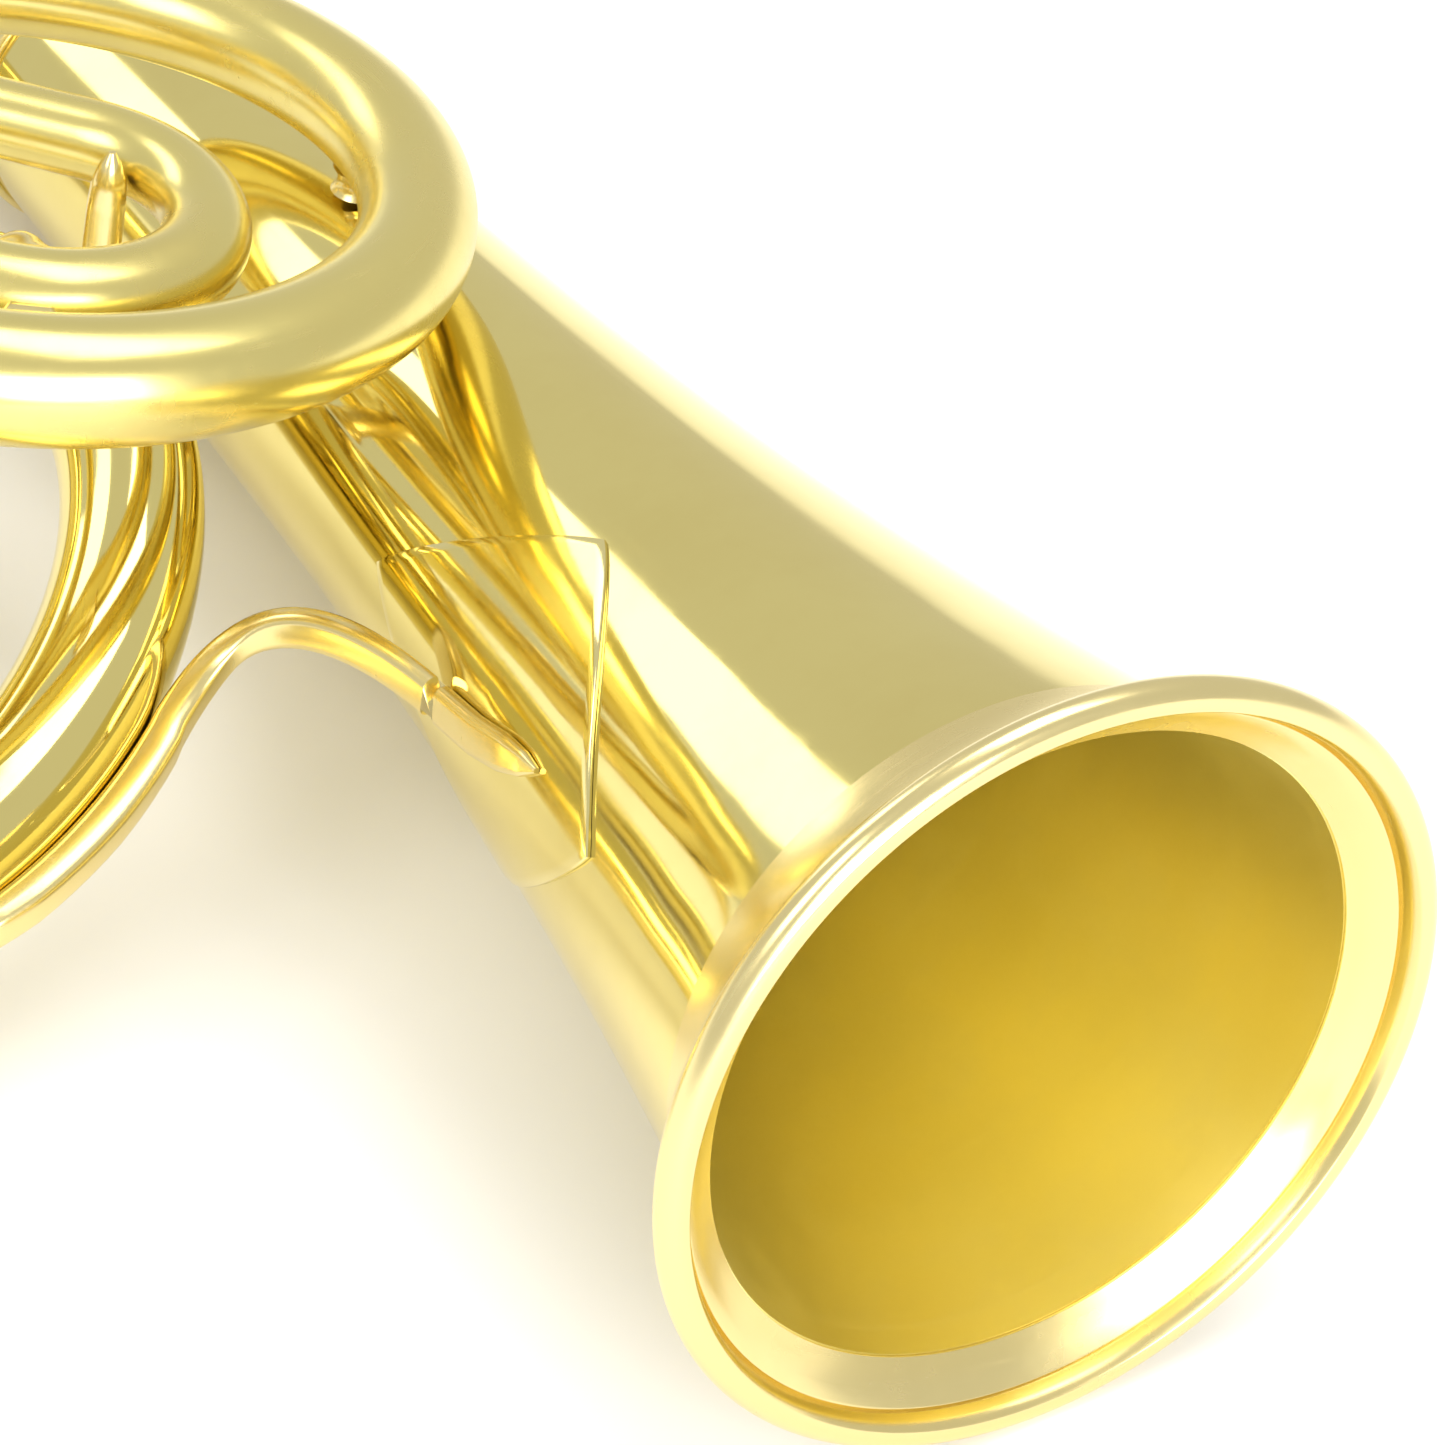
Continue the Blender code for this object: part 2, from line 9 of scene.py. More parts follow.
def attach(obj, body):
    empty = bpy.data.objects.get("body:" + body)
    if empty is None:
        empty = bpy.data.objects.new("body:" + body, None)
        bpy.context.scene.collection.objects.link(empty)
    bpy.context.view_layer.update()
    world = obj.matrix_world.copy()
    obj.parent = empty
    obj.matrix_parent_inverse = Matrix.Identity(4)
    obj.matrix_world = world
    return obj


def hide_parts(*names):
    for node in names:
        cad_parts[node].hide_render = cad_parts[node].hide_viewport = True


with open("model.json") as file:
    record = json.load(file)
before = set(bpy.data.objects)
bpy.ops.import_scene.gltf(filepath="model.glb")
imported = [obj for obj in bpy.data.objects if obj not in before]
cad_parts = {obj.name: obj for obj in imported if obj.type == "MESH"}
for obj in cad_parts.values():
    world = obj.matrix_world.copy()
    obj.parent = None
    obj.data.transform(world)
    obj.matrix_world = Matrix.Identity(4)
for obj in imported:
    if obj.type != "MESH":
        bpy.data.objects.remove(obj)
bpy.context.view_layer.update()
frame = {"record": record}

# ==== Bell ====
# The bell is one sheet of yellow brass, hammered to a long cone on a mandrel. It is polished to a
# mirror outside and left satin inside, where the lathe's rag went round and round; the inside's
# colour is also painted paler and brighter than the outside, as painted light that lifts the shade
# deep in the bell. It lies in the horn's own frame: x out of the mouth, y across, z up out of the
# coils.

MM = 0.001
WALL = 0.55
MOUTH_DEPTH = 4.8
BELL_LENGTH = 262.0
RIM_RADIUS = 56.0
BEAD_RADIUS = 2.4
BELL_OUTLINE = ((4.8, 46.3), (16.0, 44.3), (30.0, 41.6), (50.0, 38.0), (80.0, 33.4),
                (110.0, 29.7), (140.0, 26.9), (170.0, 24.8), (200.0, 23.2), (262.0, 20.6))
BRASS = (0.86, 0.73, 0.27)
# The next colour is painted light: the inside of the bell gets a paler, brighter brass than the
# outside, to lift the shade that falls deep in the bell.
LIGHTENED_SATIN = (0.99, 0.875, 0.34)
TARNISH = (0.74, 0.58, 0.18)
ROLL = -9.43
PITCH = 7.29
CREASE = 38.0

lean = (Matrix.Rotation(math.radians(ROLL), 4, "X")
        @ Matrix.Rotation(math.radians(-PITCH), 4, "Y"))
rim_flat = Vector(frame["record"]["mounts"][0]["pos_m"])
rim_flat_in_horn = Vector((BEAD_RADIUS, 0.0, RIM_RADIUS - BEAD_RADIUS)) * MM
horn_frame = Matrix.Translation(rim_flat - lean @ rim_flat_in_horn) @ lean @ Matrix.Scale(MM, 4)


def smooth(u):
    """Ease from 0 to 1 with level ends."""
    u = min(1.0, max(0.0, u))
    return u * u * (3.0 - 2.0 * u)


def turn(degrees):
    """Unit vector in plan."""
    angle = math.radians(degrees)
    return Vector((math.cos(angle), math.sin(angle)))


def outline_at(outline, x):
    """Value at x of a smooth curve through an outline's points."""
    last = len(outline) - 2
    i = max(0, min(last, sum(1 for p in outline[1:-1] if p[0] <= x)))
    (x0, y0), (x1, y1) = outline[i], outline[i + 1]
    before = outline[i - 1] if i > 0 else (2 * x0 - x1, 2 * y0 - y1)
    after = outline[i + 2] if i < last else (2 * x1 - x0, 2 * y1 - y0)
    slope_in = (y1 - before[1]) / (x1 - before[0]) * (x1 - x0)
    slope_out = (after[1] - y0) / (after[0] - x0) * (x1 - x0)
    t = (x - x0) / (x1 - x0)
    return (y0 * (2 * t**3 - 3 * t**2 + 1) + slope_in * (t**3 - 2 * t**2 + t)
            + y1 * (3 * t**2 - 2 * t**3) + slope_out * (t**3 - t**2))


def bell_radius(behind):
    """Outer radius of the bell at a distance behind the rim."""
    return outline_at(BELL_OUTLINE, behind)


def bell_point(behind, degrees, lift):
    """Point over the bell's outer surface."""
    across = turn(degrees) * (bell_radius(behind) + lift)
    return Vector((-behind, across.x, across.y))


def circle(centre, u, v, radius, sides):
    """Ring of points around a centre."""
    return [centre + (u * math.cos(a) + v * math.sin(a)) * radius
            for a in (2 * math.pi * k / sides for k in range(sides))]


def rounded(points, cut, steps, loop=True):
    """Outline with each corner rounded off, cut millimetres back from it at most."""
    result = []
    count = len(points)
    for k, point in enumerate(points):
        if not loop and k in (0, count - 1):
            result.append(tuple(point))
            continue
        here = Vector(point)
        before = Vector(points[k - 1]) - here
        after = Vector(points[(k + 1) % count]) - here
        size = min(cut, before.length * 0.45, after.length * 0.45)
        start = here + before.normalized() * size
        end = here + after.normalized() * size
        for step in range(steps + 1):
            t = step / steps
            corner = start.lerp(here, t).lerp(here.lerp(end, t), t)
            result.append(tuple(corner))
    return result


class Grade:
    """Value or colour on its way through a finish's nodes."""

    def __init__(self, tree, socket=None):
        self.tree = tree
        self.socket = socket

    def give(self, target, value):
        if isinstance(value, Grade):
            self.tree.links.new(value.socket, target)
        else:
            target.default_value = value

    def node(self, kind, settings=None, values=None, output=0):
        """New node of a kind: its settings first, then the values or links of its sockets."""
        made = self.tree.nodes.new(kind)
        for name, value in (settings or {}).items():
            if name == "stops":
                for element, (place, color) in zip(made.color_ramp.elements, value):
                    element.position = place
                    element.color = color
            else:
                setattr(made, name, value)
        for name, value in (values or {}).items():
            self.give(made.inputs[name], value)
        return Grade(self.tree, made.outputs[output])

    def sum_of(self, operation, first, second):
        return self.node("ShaderNodeMath", {"operation": operation}, {0: first, 1: second})

    def __add__(self, other):
        return self.sum_of("ADD", self, other)

    def __radd__(self, other):
        return self.sum_of("ADD", other, self)

    def __sub__(self, other):
        return self.sum_of("SUBTRACT", self, other)

    def __rsub__(self, other):
        return self.sum_of("SUBTRACT", other, self)

    def __mul__(self, other):
        return self.sum_of("MULTIPLY", self, other)

    def __rmul__(self, other):
        return self.sum_of("MULTIPLY", other, self)

    def between(self, low, high):
        """How far this value is from low to high, kept within 0 and 1."""
        return self.node("ShaderNodeMapRange", {},
                         {"Value": self, "From Min": low, "From Max": high})

    def mixed(self, first, second):
        """First colour where this value is 0, second where it is 1."""
        return self.node("ShaderNodeMix", {"data_type": "RGBA"},
                         {"Factor": self, 6: first, 7: second}, output=2)


def brass_finish(name, color, tarnish, shine, haze, lines, line_scale):
    """Brass: clouds of tarnish, hazy patches, and fine marks left by the polishing rag."""
    material = bpy.data.materials.new(name)
    material.use_nodes = True
    tree = material.node_tree
    shader = tree.nodes["Principled BSDF"]
    shader.inputs["Metallic"].default_value = 1.0
    start = Grade(tree)
    place = start.node("ShaderNodeTexCoord", output=3)
    sweep = start.node("ShaderNodeAttribute", {"attribute_name": "sweep"}, output=1)
    wear = start.node("ShaderNodeAttribute", {"attribute_name": "wear"}, output=2)

    clouds = start.node("ShaderNodeTexNoise", {}, {"Vector": place, "Scale": 34.0, "Detail": 5.0,
                                                   "Roughness": 0.6}).between(0.42, 0.72)
    grime = start.node("ShaderNodeTexNoise", {}, {"Vector": place, "Scale": 160.0, "Detail": 3.0,
                                                  "Roughness": 0.55}).between(0.52, 0.78)
    rag = start.node("ShaderNodeMapping", {}, {"Vector": sweep, "Scale": line_scale})
    marks = start.node("ShaderNodeTexNoise", {}, {"Vector": rag, "Scale": 1.0, "Detail": 4.0,
                                                  "Roughness": 0.65})
    hairs = marks.between(0.58, 0.70)

    worn = (1.0 - wear) * (clouds * 0.30 + grime * 0.06)
    tone = worn.mixed((*color, 1.0), (*tarnish, 1.0))
    pale = (wear * 0.35).mixed(tone, (0.95, 0.84, 0.48, 1.0))
    roughness = shine + clouds * haze + grime * (haze * 0.5) + hairs * (0.5 * haze)
    bump = start.node("ShaderNodeBump", {}, {"Strength": lines, "Distance": 0.00006,
                                             "Height": marks})
    tree.links.new(pale.socket, shader.inputs["Base Color"])
    tree.links.new(roughness.socket, shader.inputs["Roughness"])
    tree.links.new(bump.socket, shader.inputs["Normal"])
    return material


polished_brass = brass_finish("polished_brass", BRASS, TARNISH, 0.06, 0.07, 0.05,
                              (9.0, 9.0, 14.0))
buffed_brass = brass_finish("buffed_brass", BRASS, TARNISH, 0.22, 0.10, 0.12, (5.0, 5.0, 60.0))
# The inside's finish takes that paler colour and a paler tarnish as well, as painted light against
# the shade in the bell; only its satin roughness is the real finish.
satin_brass_lightened = brass_finish("satin_brass_lightened", LIGHTENED_SATIN, (0.90, 0.80, 0.28), 0.34, 0.07, 0.22,
                           (0.5, 0.5, 900.0))


def skin(name, rings, finishes, closed=False, along=None, wear=None, second=None):
    """Piece skinned over a row of rings, with its sweep and wear kept as attributes."""
    bm = bmesh.new()
    sweep = bm.verts.layers.float_vector.new("sweep")
    worn = bm.verts.layers.float.new("wear")
    rows = []
    travelled = 0.0
    count = len(rings[0])
    for i, ring in enumerate(rings):
        if i:
            travelled += (sum(ring, Vector()) - sum(rings[i - 1], Vector())).length / count
        row = []
        for k, point in enumerate(ring):
            vertex = bm.verts.new(horn_frame @ point)
            around = turn(360.0 * k / count)
            vertex[sweep] = (around.x, around.y, (along[i] if along else travelled) * MM)
            vertex[worn] = wear[i] if wear else 0.0
            row.append(vertex)
        rows.append(row)
    pairs = list(zip(rows, rows[1:]))
    if closed:
        pairs.append((rows[-1], rows[0]))
    else:
        bm.faces.new(rows[0])
        bm.faces.new(rows[-1])
    for i, (a, b) in enumerate(pairs):
        for k in range(count):
            n = (k + 1) % count
            face = bm.faces.new((a[k], a[n], b[n], b[k]))
            face.material_index = 1 if second and second(i) else 0
    bmesh.ops.recalc_face_normals(bm, faces=bm.faces)
    mesh = bpy.data.meshes.new(name)
    bm.to_mesh(mesh)
    bm.free()
    mesh.shade_smooth()
    mesh.set_sharp_from_angle(angle=math.radians(CREASE))
    for finish in finishes:
        mesh.materials.append(finish)
    piece = bpy.data.objects.new(name, mesh)
    bpy.context.collection.objects.link(piece)
    return piece


def turned(name, outline, origin, axis, sides, finishes, wear=None, second=None):
    """Closed outline of (along, radius) turned about an axis."""
    axis = axis.normalized()
    u = axis.orthogonal().normalized()
    v = axis.cross(u)
    rings = [circle(origin + axis * a, u, v, r, sides) for a, r in outline]
    return skin(name, rings, finishes, closed=True, along=[a for a, r in outline], wear=wear,
                second=second)


def fit(piece, node, body="horn"):
    """Put a finished piece in a node's place, riding on its body."""
    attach(piece, body)
    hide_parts(node)


sheet_steps = 110
stations = [MOUTH_DEPTH + (BELL_LENGTH - MOUTH_DEPTH) * k / sheet_steps
            for k in range(sheet_steps + 1)]
bell_outline = [(-s, bell_radius(s)) for s in stations]
bell_outline += [(-s, bell_radius(s) - WALL) for s in reversed(stations)]
bell = turned("bell", bell_outline, Vector(), Vector((1, 0, 0)), 180,
              [polished_brass, satin_brass_lightened], second=lambda i: i >= sheet_steps)
fit(bell, "bell")

# ==== Rim ring ====
# A turned ring of paler brass is soldered over the bell's mouth: a flared lip, a fine groove,
# a rolled bead with a flat worn on its front, and a hollow fillet that runs back onto the
# sheet. Hands and tables keep the bead bright.

SEAM = 0.06
RING_BACK = 17.0
BEAD_FLAT = 0.9
PALE = (0.88, 0.72, 0.31)

pale_brass = brass_finish("pale_brass", PALE, (0.72, 0.58, 0.24), 0.20, 0.10, 0.16,
                          (3.0, 3.0, 900.0))
bead_middle = RIM_RADIUS - BEAD_RADIUS
lip = [(-MOUTH_DEPTH - 0.1, bell_radius(MOUTH_DEPTH) + SEAM), (-MOUTH_DEPTH + 0.1, 46.0),
       (-4.3, 45.9), (-3.4, 47.2), (-2.0, 49.2), (-0.6, 50.8), (-0.5, 51.05), (-1.0, 51.3),
       (-0.2, 51.6), (0.9, 51.8), (BEAD_RADIUS - 0.15, bead_middle - BEAD_FLAT - 0.25),
       (BEAD_RADIUS, bead_middle - BEAD_FLAT)]
bead = []
for step in range(17):
    around = turn(78.0 - 156.0 * step / 16)
    bead.append((around.y * BEAD_RADIUS, bead_middle + around.x * BEAD_RADIUS))
shoulder = Vector((2.9, 52.3))
foot_gap = SEAM + 0.3
rise = shoulder.y - bell_radius(shoulder.x) - foot_gap
fillet = []
for step in range(15):
    around = turn(86.0 - 86.0 * step / 14)
    behind = RING_BACK - (RING_BACK - shoulder.x) * around.y
    fillet.append((-behind, bell_radius(behind) + foot_gap + rise * (1.0 - around.x)))
seat = [(-s, bell_radius(s) + SEAM) for s in (RING_BACK, 14.0, 11.0, 8.0)]
rim_outline = lip + bead + fillet + seat
rim_wear = [0.5 if 3 < k < 9 else 0.8 if 10 < k < 30 else 0.15 for k in range(len(rim_outline))]
rim_ring = turned("rim_ring", rim_outline, Vector(), Vector((1, 0, 0)), 200, [pale_brass],
                  wear=rim_wear)
fit(rim_ring, "rim_ring")

# ==== Patch ====
# A lozenge of thin sheet is soldered on the bell's side, under the bridge's foot, to spread
# its pull. Its edge is filed to a small slope and rubbed bright.

PATCH_CENTRE = (86.0, 170.0)
PATCH_HALF = (35.5, 47.0)
PATCH_THICK = 0.5
PATCH_SOLDER = 0.24
PATCH_ROUNDING = 1.12

corners = 120
patch_rows = []
patch_wear = []
profile = [(k / 16.0, 0.0) for k in range(1, 17)]
profile += [(1.0, 0.55), (0.993, 0.9), (0.975, 1.0)] + [(k / 16.0, 1.0) for k in range(15, 0, -1)]
for size, height in profile:
    row = []
    for k in range(corners):
        around = turn(360.0 * k / corners)
        reach = (abs(around.x) ** PATCH_ROUNDING + abs(around.y) ** PATCH_ROUNDING)
        reach = reach ** (-1.0 / PATCH_ROUNDING) * size
        lift = SEAM + (PATCH_THICK + PATCH_SOLDER) * height
        row.append(bell_point(PATCH_CENTRE[0] + PATCH_HALF[0] * around.x * reach,
                              PATCH_CENTRE[1] + PATCH_HALF[1] * around.y * reach, lift))
    patch_rows.append(row)
    patch_wear.append(1.0 if size > 0.97 else 0.0)
bell_patch = skin("bell_patch", patch_rows, [polished_brass], wear=patch_wear)
fit(bell_patch, "bell_patch")

# ==== Tubing ====
# Six tubes of yellow brass are drawn to a taper and bent full of pitch. They widen all the
# way from the receiver to the bell's tail. The two bows of the upper coil are only buffed,
# so they shine more softly than the rest, which are polished.

COIL_LEVEL = 35.9
SIDE_LEVEL = 5.0
LOW_LEVEL = -37.0
PIPE_LIFT = 14.0
PIPE_RISE = (12.0, 58.0)
MOUTHPIPE_LENGTH = 138.0
INNER_CENTRE = Vector((-169.0, -58.0))
INNER_RADIUS = 22.4
INNER_TURN = 136.0
OUTER_CENTRE = Vector((-180.0, -56.0))
OUTER_RADIUS = 53.8
OUTER_START = 176.0
LOWER_CENTRE = Vector((-177.0, -104.0))
LOWER_RADIUS = 61.0
BORE = {"mouthpipe": 4.9, "inner": 5.5, "leg": 6.9, "swing": 7.0, "outer": 7.15, "side": 9.1,
        "beside": 9.35, "lower": 9.4, "left": 11.3, "rear": 12.0, "bell": 20.6, "tail": 21.4}
SHANK_DEPTH = 22.0


class Windway:
    """Centreline of the tubing, from the receiver's mouth to the bell's tail."""

    STEP = 1.0

    def __init__(self):
        self.plan = []
        self.marks = {}

    def line(self, name, start, end):
        """Straight run in plan."""
        self.marks[name] = len(self.plan)
        count = max(1, round((end - start).length / self.STEP))
        self.plan += [start.lerp(end, k / count) for k in range(count)]

    def bow(self, name, centre, radius, start, end):
        """Clockwise bow in plan, from start to end in degrees."""
        self.marks[name] = len(self.plan)
        count = max(2, round(math.radians(start - end) * radius / self.STEP))
        self.plan += [centre + turn(start + (end - start) * k / count) * radius
                      for k in range(count)]

    def finish(self, name, end):
        """Close the plan, then work out the heights, the bore and the frames."""
        self.marks[name] = len(self.plan)
        self.plan.append(end)
        self.run = [0.0]
        for a, b in zip(self.plan, self.plan[1:]):
            self.run.append(self.run[-1] + (b - a).length)
        self.start = {key: self.run[k] for key, k in self.marks.items()}
        self.centre = [Vector((p.x, p.y, coil_height(self.start, s)))
                       for p, s in zip(self.plan, self.run)]
        self.bore = tuple((self.start[key], radius) for key, radius in BORE.items())
        side = Vector((0.0, 0.0, 1.0))
        self.frames = []
        for k in range(len(self.centre)):
            ahead = self.centre[min(k + 1, len(self.centre) - 1)]
            tangent = (ahead - self.centre[max(k - 1, 0)]).normalized()
            side = (side - tangent * side.dot(tangent)).normalized()
            self.frames.append((tangent, side, tangent.cross(side)))

    def at(self, station):
        """Centre, tangent, two cross vectors and outer radius at a distance along."""
        k = max(0, min(len(self.run) - 2, sum(1 for s in self.run if s <= station) - 1))
        t = (station - self.run[k]) / (self.run[k + 1] - self.run[k])
        centre = self.centre[k].lerp(self.centre[k + 1], t)
        tangent, side, other = (a.lerp(b, t).normalized()
                                for a, b in zip(self.frames[k], self.frames[k + 1]))
        return centre, tangent, side, other, outline_at(self.bore, station)

    def ring(self, station, extra, sides):
        """Ring about the centreline, extra millimetres outside the tubing."""
        centre, tangent, side, other, radius = self.at(station)
        return circle(centre, side, other, radius + extra, sides)


def coil_height(start, s):
    """Height of the centreline: raised mouthpipe, level coils, fall, dip, rise to the bell."""
    to_inner = start["inner"] - s
    lift = PIPE_LIFT * smooth((to_inner - PIPE_RISE[0]) / (PIPE_RISE[1] - PIPE_RISE[0]))
    side_length = start["beside"] - start["side"]
    fall_start = start["side"] - math.radians(60.0) * OUTER_RADIUS
    fall_end = start["side"] + side_length * 100.0 / 180.0
    fall = (COIL_LEVEL - SIDE_LEVEL) * smooth((s - fall_start) / (fall_end - fall_start))
    dip_start = start["lower"] - math.radians(5.0) * LOWER_RADIUS
    dip_end = start["lower"] + math.radians(115.0) * LOWER_RADIUS
    dip = (SIDE_LEVEL - LOW_LEVEL) * smooth((s - dip_start) / (dip_end - dip_start))
    rise_end = start["rear"] + 0.66 * (start["bell"] - start["rear"])
    rise = -LOW_LEVEL * smooth((s - start["rear"] + 6.0) / (rise_end - start["rear"] + 6.0))
    return COIL_LEVEL + lift - fall - dip + rise


way = Windway()
entry = INNER_CENTRE + turn(INNER_TURN) * INNER_RADIUS
way.line("mouthpipe", entry + turn(INNER_TURN + 90.0) * MOUTHPIPE_LENGTH, entry)
leave = INNER_TURN - 180.0
way.bow("inner", INNER_CENTRE, INNER_RADIUS, INNER_TURN, leave)
leg = INNER_CENTRE + turn(leave) * INNER_RADIUS
slant = turn(OUTER_START).dot(turn(leave))
swing = ((leg - OUTER_CENTRE).dot(turn(leave)) - OUTER_RADIUS * slant) / (1.0 - slant)
swing_centre = OUTER_CENTRE + turn(OUTER_START) * (OUTER_RADIUS - swing)
way.line("leg", leg, swing_centre + turn(leave) * swing)
way.bow("swing", swing_centre, swing, leave, OUTER_START - 360.0)
way.bow("outer", OUTER_CENTRE, OUTER_RADIUS, OUTER_START, -90.0)
left = OUTER_CENTRE.y - OUTER_RADIUS
right = LOWER_CENTRE.y + LOWER_RADIUS
side_radius = (right - left) / 2.0
way.bow("side", Vector((OUTER_CENTRE.x, left + side_radius)), side_radius, -90.0, -270.0)
way.line("beside", Vector((OUTER_CENTRE.x, right)), Vector((LOWER_CENTRE.x, right)))
way.bow("lower", LOWER_CENTRE, LOWER_RADIUS, 90.0, -90.0)
far = LOWER_CENTRE.y - LOWER_RADIUS
way.line("left", Vector((LOWER_CENTRE.x, far)), Vector((-BELL_LENGTH, far)))
way.bow("rear", Vector((-BELL_LENGTH, far / 2.0)), -far / 2.0, -90.0, -270.0)
tail = Vector((20.0 - BELL_LENGTH, 0.0))
way.line("bell", Vector((-BELL_LENGTH, 0.0)), tail)
way.finish("tail", tail)


def tube_tree():
    """Nodes that sweep a round, hollow tube along a centreline with its bore at each point."""
    tree = bpy.data.node_groups.new("drawn_tube", "GeometryNodeTree")
    face = tree.interface
    face.new_socket("Geometry", in_out="INPUT", socket_type="NodeSocketGeometry")
    face.new_socket("Sides", in_out="INPUT", socket_type="NodeSocketInt")
    face.new_socket("Wall", in_out="INPUT", socket_type="NodeSocketFloat")
    face.new_socket("Finish", in_out="INPUT", socket_type="NodeSocketMaterial")
    face.new_socket("Geometry", in_out="OUTPUT", socket_type="NodeSocketGeometry")

    def add(kind, **settings):
        node = tree.nodes.new(kind)
        for key, value in settings.items():
            setattr(node, key, value)
        return node

    link = tree.links.new
    given = add("NodeGroupInput")
    line = add("GeometryNodeMeshToCurve")
    link(given.outputs["Geometry"], line.inputs["Mesh"])
    length = add("GeometryNodeSplineParameter")
    along = add("GeometryNodeCaptureAttribute")
    along.capture_items.new("FLOAT", "Along")
    link(line.outputs[0], along.inputs["Geometry"])
    link(length.outputs["Length"], along.inputs["Along"])

    disc = add("GeometryNodeCurvePrimitiveCircle")
    link(given.outputs["Sides"], disc.inputs["Resolution"])
    disc.inputs["Radius"].default_value = 1.0
    point = add("GeometryNodeInputPosition")
    around = add("GeometryNodeCaptureAttribute")
    around.capture_items.new("VECTOR", "Around")
    link(disc.outputs["Curve"], around.inputs["Geometry"])
    link(point.outputs[0], around.inputs["Around"])

    bore = add("GeometryNodeInputNamedAttribute", data_type="FLOAT")
    bore.inputs["Name"].default_value = "bore"
    inside = add("ShaderNodeMath", operation="SUBTRACT")
    link(bore.outputs["Attribute"], inside.inputs[0])
    link(given.outputs["Wall"], inside.inputs[1])
    join = add("GeometryNodeJoinGeometry")
    for radius, flip in ((bore.outputs["Attribute"], False), (inside.outputs[0], True)):
        wall = add("GeometryNodeCurveToMesh")
        link(along.outputs["Geometry"], wall.inputs["Curve"])
        link(radius, wall.inputs["Scale"])
        link(around.outputs["Geometry"], wall.inputs["Profile Curve"])
        surface = wall.outputs[0]
        if flip:
            turned_in = add("GeometryNodeFlipFaces")
            link(surface, turned_in.inputs[0])
            surface = turned_in.outputs[0]
        link(surface, join.inputs[0])

    parts = add("ShaderNodeSeparateXYZ")
    link(around.outputs["Around"], parts.inputs[0])
    sweep = add("ShaderNodeCombineXYZ")
    link(parts.outputs["X"], sweep.inputs["X"])
    link(parts.outputs["Y"], sweep.inputs["Y"])
    link(along.outputs["Along"], sweep.inputs["Z"])
    store = add("GeometryNodeStoreNamedAttribute", data_type="FLOAT_VECTOR")
    store.inputs["Name"].default_value = "sweep"
    link(join.outputs[0], store.inputs["Geometry"])
    link(sweep.outputs[0], store.inputs["Value"])
    real = add("GeometryNodeRealizeInstances")
    link(store.outputs[0], real.inputs[0])
    shaded = add("GeometryNodeSetShadeSmooth")
    link(real.outputs[0], shaded.inputs[0])
    painted = add("GeometryNodeSetMaterial")
    link(shaded.outputs[0], painted.inputs["Geometry"])
    link(given.outputs["Finish"], painted.inputs["Material"])
    out = add("NodeGroupOutput")
    link(painted.outputs[0], out.inputs[0])
    return tree


drawn_tube = tube_tree()


def draw_tube(name, first, last, sides, finish):
    """Tube between two stations, its ends closed over the wall."""
    steps = max(8, round((last - first) / 1.6))
    centres = []
    bores = []
    for k in range(steps + 1):
        centre, _, _, _, radius = way.at(first + (last - first) * k / steps)
        centres.append(horn_frame @ centre)
        bores.append(radius * MM)
    line = bpy.data.meshes.new(name + "_line")
    line.from_pydata(centres, [(k, k + 1) for k in range(steps)], [])
    bore = line.attributes.new("bore", "FLOAT", "POINT")
    bore.data.foreach_set("value", bores)
    carrier = bpy.data.objects.new(name + "_line", line)
    bpy.context.collection.objects.link(carrier)
    modifier = carrier.modifiers.new("drawn_tube", "NODES")
    modifier.node_group = drawn_tube
    values = {"Sides": sides, "Wall": WALL * MM, "Finish": finish}
    for socket in drawn_tube.interface.items_tree:
        if socket.in_out == "INPUT" and socket.name in values:
            modifier[socket.identifier] = values[socket.name]
    bpy.context.view_layer.update()
    ready = carrier.evaluated_get(bpy.context.evaluated_depsgraph_get())
    mesh = bpy.data.meshes.new_from_object(ready)
    mesh.name = name
    bpy.data.objects.remove(carrier, do_unlink=True)

    bm = bmesh.new()
    bm.from_mesh(mesh)
    for end, reach in ((centres[0], bores[0]), (centres[-1], bores[-1])):
        rim = [edge for edge in bm.edges if edge.is_boundary
               and (edge.verts[0].co - end).length < reach * 1.2]
        bmesh.ops.bridge_loops(bm, edges=rim)
    bmesh.ops.recalc_face_normals(bm, faces=bm.faces)
    bm.to_mesh(mesh)
    bm.free()
    mesh.set_sharp_from_angle(angle=math.radians(CREASE))
    piece = bpy.data.objects.new(name, mesh)
    bpy.context.collection.objects.link(piece)
    return piece


FERRULES = {"pipe_ferrule": ("mouthpipe", 62.0), "inner_ferrule": ("swing", 88.0),
            "outer_ferrule": ("side", 12.0), "side_ferrule": ("lower", -13.0),
            "lower_ferrule": ("left", 24.0), "bell_ferrule": ("bell", 0.0)}
TUBE_START = 0.15
TUBE_END = 0.45

joints = {name: way.start[mark] + offset for name, (mark, offset) in FERRULES.items()}
cuts = [SHANK_DEPTH + 1.0] + list(joints.values())
tube_names = ("mouthpipe", "inner_bow", "outer_bow", "side_bow", "lower_bow", "rear_bow")
for name, first, last in zip(tube_names, cuts, cuts[1:]):
    tube = draw_tube(name, first + TUBE_START, last - TUBE_END, 64,
                     buffed_brass if name in ("inner_bow", "outer_bow") else polished_brass)
    fit(tube, name)

# ==== Ferrules ====
# Each joint between two tubes is covered by a turned sleeve of paler brass, soft-soldered on.
# It has a small bead at each end and a waist between them, and the beads are rubbed bright.

FERRULE_HALF = 8.0
FERRULE_WALL = 0.8

